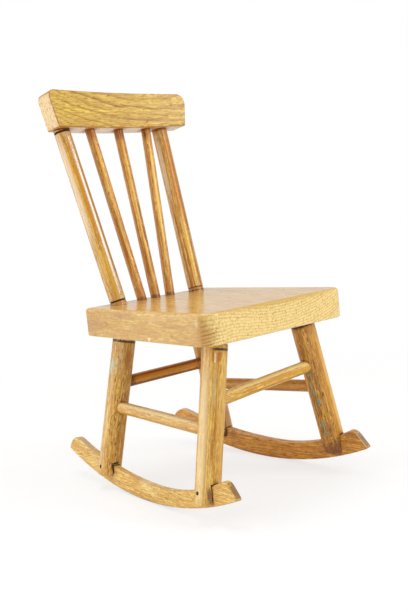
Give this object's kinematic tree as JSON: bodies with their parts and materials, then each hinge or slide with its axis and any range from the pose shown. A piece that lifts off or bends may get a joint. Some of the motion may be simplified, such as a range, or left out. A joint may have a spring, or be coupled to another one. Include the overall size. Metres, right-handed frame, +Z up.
{
  "type": "rocking chair",
  "caption": "Small wooden rocking chair: plank seat, straight crest rail on round posts and rods, splayed dowel legs, dowel stretchers and sawn rockers slotted into the legs.",
  "frame": {"origin": "on the floor, midway between the rockers, under the line where their soles touch it", "axes": "+Z up, -Y towards the front of the chair, +X towards the sitter's left"},
  "size_m": [0.1888, 0.266, 0.3864],
  "materials": {
    "seat_wood": "glossy amber varnish",
    "rail_wood": "amber varnish, bold growth rings",
    "post_wood": "amber varnish with brown streaks",
    "rod_wood": "dark amber varnish with brown streaks",
    "leg_wood": "worn amber varnish",
    "stretcher_wood": "worn amber varnish",
    "rocker_wood": "worn amber varnish, raw sawn ends",
    "nail_steel": "dark oxidised wire nail"
  },
  "bodies": {
    "root": {"seat": "seat_wood", "crest_rail": "rail_wood", "right_post": "post_wood", "left_post": "post_wood", "right_back_rod": "rod_wood", "middle_back_rod": "rod_wood", "left_back_rod": "rod_wood", "right_front_leg": "leg_wood", "left_front_leg": "leg_wood", "right_back_leg": "leg_wood", "left_back_leg": "leg_wood", "right_stretcher": "stretcher_wood", "left_stretcher": "stretcher_wood", "front_stretcher": "stretcher_wood", "back_stretcher": "stretcher_wood", "right_rocker": "rocker_wood", "left_rocker": "rocker_wood", "right_front_nail": "nail_steel", "right_back_nail": "nail_steel", "left_front_nail": "nail_steel", "left_back_nail": "nail_steel"}
  },
  "joints": []
}
